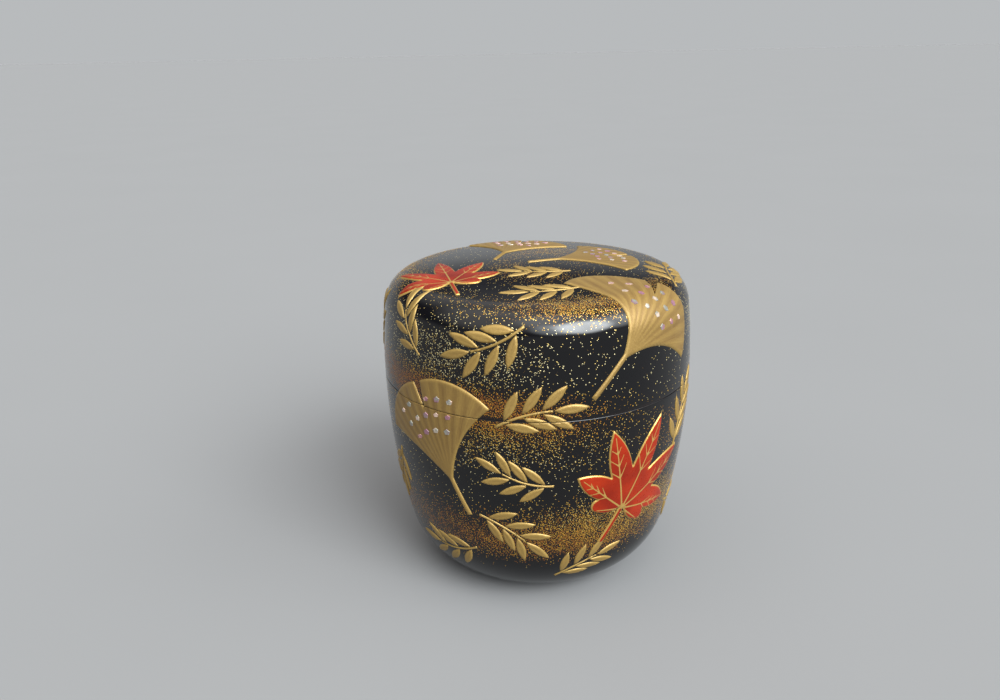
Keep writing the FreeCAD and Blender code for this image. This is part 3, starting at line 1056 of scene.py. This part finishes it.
def named(tree, name, kind="FLOAT"):
    return output(tree, "GeometryNodeInputNamedAttribute", {"Name": name}, data_type=kind)


def cone(tree, sides, top, bottom, depth):
    inputs = {"Vertices": sides, "Radius Top": top, "Radius Bottom": bottom, "Depth": depth}
    return output(tree, "GeometryNodeMeshCone", inputs, fill_type="NGON")


tintOverlap = 0.01  # so that a tint of 0 is painted too


def placeCopies(tree, points, tint, copies, materials):
    # real copies on the points, each painted with one of the materials by its tint
    inputs = {"Geometry": points, "Name": "tint", "Value": tint}
    tinted = output(tree, "GeometryNodeStoreNamedAttribute", inputs, data_type="FLOAT", domain="POINT")
    placed = output(tree, "GeometryNodeInstanceOnPoints", {"Points": tinted, **copies})
    painted = output(tree, "GeometryNodeRealizeInstances", {"Geometry": placed})
    for index, material in enumerate(materials):
        paler = maths("GREATER_THAN", named(tree, "tint"), index / len(materials) - tintOverlap)
        inputs = {"Geometry": painted, "Selection": paler, "Material": material}
        painted = output(tree, "GeometryNodeSetMaterial", inputs)
    node(tree, "NodeGroupOutput", {"Geometry": painted})


def runTree(mesh, tree, inputs):
    # evaluates a node tree on a mesh and hands back a plain mesh
    carrier = newObject(mesh.name, mesh)
    modifier = carrier.modifiers.new(tree.name, "NODES")
    modifier.node_group = tree
    sockets = {s.name: s.identifier for s in tree.interface.items_tree if s.in_out == "INPUT"}
    for size, value in inputs.items():
        modifier[sockets[size]] = value
    graph = bpy.context.evaluated_depsgraph_get()
    graph.update()
    made = bpy.data.meshes.new_from_object(
        carrier.evaluated_get(graph), preserve_all_data_layers=True, depsgraph=graph
    )
    carrier.modifiers.clear()
    bpy.data.objects.remove(carrier)
    return made


dustGrades = {
    "powder": {"Density": 1.1e7, "Gathering": 1.6, "Smallest": 0.00008, "Largest": 0.00014, "Seed": 5},
    "specks": {"Density": 5.0e6, "Gathering": 0.9, "Smallest": 0.0001, "Largest": 0.00017, "Seed": 9},
}
dustFlake = {
    "raggedScale": 260.0, "raggedRange": (0.32, 0.62), "raggedGain": (1.1, 0.25),
    "sides": 4,
    "height": 0.16,
    "turns": [  # spin and tilt: axis, least, most and seed
        ((0, 0, 1), 0.0, 6.283, 11),
        ((1, 0, 0), -0.16, 0.16, 17),
    ],
    "sizeSeed": 37,
    "paleness": 0.95,
    "tintSpread": (-0.2, 0.25, 23),  # least, most and seed
}


def dustTree(flake):
    tree, sizes = newTree("sprinkledDust", dustGrades["powder"])
    gathered = maths("POWER", named(tree, "dust"), sizes["Gathering"])
    where = output(tree, "GeometryNodeInputPosition")
    ragged = ramp(noise(where, flake["raggedScale"], roughness=0.6), *flake["raggedRange"])
    ragged = maths("MULTIPLY_ADD", ragged, *flake["raggedGain"])
    density = times(gathered, ragged, sizes["Density"])
    inputs = {"Mesh": sizes["Geometry"], "Density": density, "Seed": sizes["Seed"]}
    scatter = node(tree, "GeometryNodeDistributePointsOnFaces", inputs, distribute_method="RANDOM").outputs
    turned = scatter["Rotation"]
    for axis, low, high, seed in flake["turns"]:
        inputs = {"Axis": axis, "Angle": floatRandom(tree, low, high, seed)}
        turn = output(tree, "FunctionNodeAxisAngleToRotation", inputs)
        inputs = {"Rotation": turned, "Rotate By": turn}
        turned = output(tree, "FunctionNodeRotateRotation", inputs, rotation_space="LOCAL")
    paleness = maths("MULTIPLY_ADD", named(tree, "warm"), -flake["paleness"], flake["paleness"])
    tint = maths("ADD", paleness, floatRandom(tree, *flake["tintSpread"]), clamp=True)
    scale = floatRandom(tree, sizes["Smallest"], sizes["Largest"], flake["sizeSeed"])
    shape = cone(tree, flake["sides"], 0.0, 1.0, flake["height"])
    copies = {"Instance": shape, "Rotation": turned, "Scale": scale}
    placeCopies(tree, scatter["Points"], tint, copies, dustMaterials)
    return tree


sprinkle = dustTree(dustFlake)
for body, rows in (("vessel", vesselRows), ("cover", coverRows)):
    dustyRows = [row for row in rows if row[2]]
    for grade, settings in dustGrades.items():
        mesh = runTree(latheMesh(f"{body}DustCarrier", dustyRows), sprinkle, settings)
        piece = newObject(f"{body}_gold_{grade}", mesh)
        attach(piece, body)
        print(body, grade, len(mesh.polygons) // (dustFlake["sides"] + 1), "flakes")


shellFlecks = {
    "size": 0.0013,
    "rows": [(0.0096, 4), (0.0126, 5), (0.0156, 6)],
    "fanAngle": 62.0,
    "thickness": 0.00012,
    "seated": 0.00002,
    "sides": 5,
    "topShare": 0.9,
    "lengths": (0.95, 1.45, 53),  # least, most and seed
    "widths": (0.85, 1.25, 59),
    "tints": (0.0, 1.0, 41),
}


def fleckTree(fleck, inputs):
    tree, sizes = newTree("setFlecks", inputs)
    points = output(tree, "GeometryNodeMeshToPoints", {"Mesh": sizes["Geometry"]}, mode="VERTICES")
    top = times(sizes["Half Size"], fleck["topShare"])
    facing = {0: named(tree, "facing", "FLOAT_VECTOR"), 1: named(tree, "heading", "FLOAT_VECTOR")}
    aim = output(tree, "FunctionNodeAxesToRotation", facing, primary_axis="Z", secondary_axis="X")
    spread = {"X": floatRandom(tree, *fleck["lengths"]), "Y": floatRandom(tree, *fleck["widths"]), "Z": 1.0}
    copies = {
        "Instance": cone(tree, fleck["sides"], top, sizes["Half Size"], sizes["Thickness"]),
        "Rotation": aim,
        "Scale": output(tree, "ShaderNodeCombineXYZ", spread),
    }
    tint = floatRandom(tree, *fleck["tints"])
    placeCopies(tree, points, tint, copies, [shellMaterial])
    return tree


def fleckSpots(fleck):
    spots = []
    for reach, count in fleck["rows"]:
        for index in range(count):
            share = (index + 0.5) / count - 0.5
            across, along = polar(reach, share * fleck["fanAngle"])
            spots.append((across, along - goldLeaf["edgeHeight"] / 2))
    return np.array(spots)


fleckSizes = {"Half Size": shellFlecks["size"] / 2, "Thickness": shellFlecks["thickness"]}
setFlecks = fleckTree(shellFlecks, fleckSizes)
spots = fleckSpots(shellFlecks)
spotLift = goldLeafHeight(spots, goldLoop, goldLeaf)[0] - shellFlecks["seated"]
for body, prefix, above in halves:
    places = []
    facings = []
    headings = []
    for place in goldLeaf["places"]:
        seat = Seat(*place)
        points = seat.onSurface(spots, spotLift)
        outward = standOff(points)[1]
        clear = fleckSizes["Half Size"] * seat.scale
        side = points[:, 2] - turnedForm["seamHeight"]
        keep = side > clear if above else side < -clear
        places += list(points[keep])
        facings += list(outward[keep])
        headings += [seat.right] * int(keep.sum())
    mesh = newMesh(f"{body}FleckSpots", places, [], {"facing": facings, "heading": headings})
    piece = newObject(f"{body}_shell_flecks", runTree(mesh, setFlecks, fleckSizes))
    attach(piece, body)
    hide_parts(f"{prefix}_shell_flecks")
    print(body, "flecks:", len(places))


# Plain pale floor, soft studio light, and the camera at the photograph's angle
stageSettings = {
    "floorSize": 200.0, "floorColour": (0.186, 0.185, 0.185), "floorRoughness": 0.9,
    "mottleScale": 9.0, "mottleGain": 1.04,
    "horizonColour": (0.48, 0.495, 0.506), "horizonFade": (0.18, 0.34),
    "aboveColour": (0.07, 0.075, 0.09),
    "glows": [  # azimuth from the front, elevation, inner and outer half angle, brightness, colour
        (39.0, 35.0, 11.5, 23.0, 17.0, (0.93, 0.98, 1.0)),
        (28.0, 60.0, 8.0, 30.0, 3.0, (0.92, 0.97, 1.0)),
        (66.0, 35.0, 8.0, 22.0, 5.0, (0.93, 0.98, 1.0)),
        (17.0, 35.0, 5.0, 21.0, 5.5, (0.88, 0.95, 1.0)),
        (92.0, 39.0, 8.0, 26.0, 2.4, (0.95, 0.985, 1.0)),
        (-44.0, 60.0, 5.0, 46.0, 1.7, (1.0, 0.98, 0.95)),
        (-168.0, 64.0, 5.0, 44.0, 1.0, (1.0, 0.98, 0.95)),
    ],
}


def floorSurface(tree, settings):
    mottle = noise(objectPlace(tree), settings["mottleScale"])
    paler = tuple(c * settings["mottleGain"] for c in settings["floorColour"])
    colour = mixColours(mottle, settings["floorColour"], paler)
    return {"Base Color": colour, "Roughness": settings["floorRoughness"], "Specular IOR Level": 0.0}


def paleFloor(settings):
    half = settings["floorSize"] / 2
    corners = [(-half, -half, 0), (half, -half, 0), (half, half, 0), (-half, half, 0)]
    mesh = newMesh("paleFloor", corners, [(0, 1, 2, 3)], {})
    floor = newObject("paleFloor", mesh, newMaterial("paleFloor", floorSurface, settings))


def softWorld(settings):
    # a dim room, paler at the horizon, with one bright soft glow and weaker ones around it
    world = bpy.data.worlds.new("softStudio")
    world.use_nodes = True
    tree = world.node_tree
    way = node(tree, "ShaderNodeTexCoord").outputs["Generated"]
    height = node(tree, "ShaderNodeSeparateXYZ", {"Vector": way}).outputs["Z"]
    height = ramp(height, *settings["horizonFade"])
    colour = mixColours(height, settings["horizonColour"], settings["aboveColour"])
    for azimuth, elevation, inner, outer, brightness, tone in settings["glows"]:
        around = radians(azimuth)
        rise = radians(elevation)
        towards = (sin(around) * cos(rise), -cos(around) * cos(rise), sin(rise))
        along = output(tree, "ShaderNodeVectorMath", {0: way, 1: towards}, operation="DOT_PRODUCT")
        edges = [cos(radians(angle)) for angle in (outer, inner)]
        soft = ramp(along, *edges, shape="SMOOTHSTEP")
        colour = mixColours(soft, colour, tuple(c * brightness for c in tone), "ADD")
    feed(tree.nodes["Background"], {"Color": colour})
    bpy.context.scene.world = world


photoCamera = {
    "focalPixels": 831.0,
    "imageWidth": 1000.0,
    "sensorWidth": 36.0,
    "clip": (0.01, 50.0),
    "aim": (0.0, 0.0, 0.035),
    "distance": 0.212,
    "elevation": 24.49,
    "pitch": 19.72,
    "yaw": -2.64,
    "roll": -1.22,
}


def standCamera(view):
    data = bpy.data.cameras.new("photoCamera")
    data.sensor_width = view["sensorWidth"]
    data.lens = view["sensorWidth"] * view["focalPixels"] / view["imageWidth"]
    data.clip_start, data.clip_end = view["clip"]
    camera = newObject("photoCamera", data)
    rise = radians(view["elevation"])
    away = Vector((0.0, -cos(rise), sin(rise)))
    stand = Matrix.Translation(Vector(view["aim"]) + away * view["distance"])
    for axis, turn in (("Z", -view["yaw"]), ("X", 90.0 - view["pitch"]), ("Z", view["roll"])):
        stand = stand @ Matrix.Rotation(radians(turn), 4, axis)
    camera.matrix_world = stand
    bpy.context.scene.camera = camera


paleFloor(stageSettings)
softWorld(stageSettings)
bpy.context.scene.view_settings.view_transform = "Standard"
standCamera(photoCamera)
print("stage, lights and camera set")

bpy.context.view_layer.update()
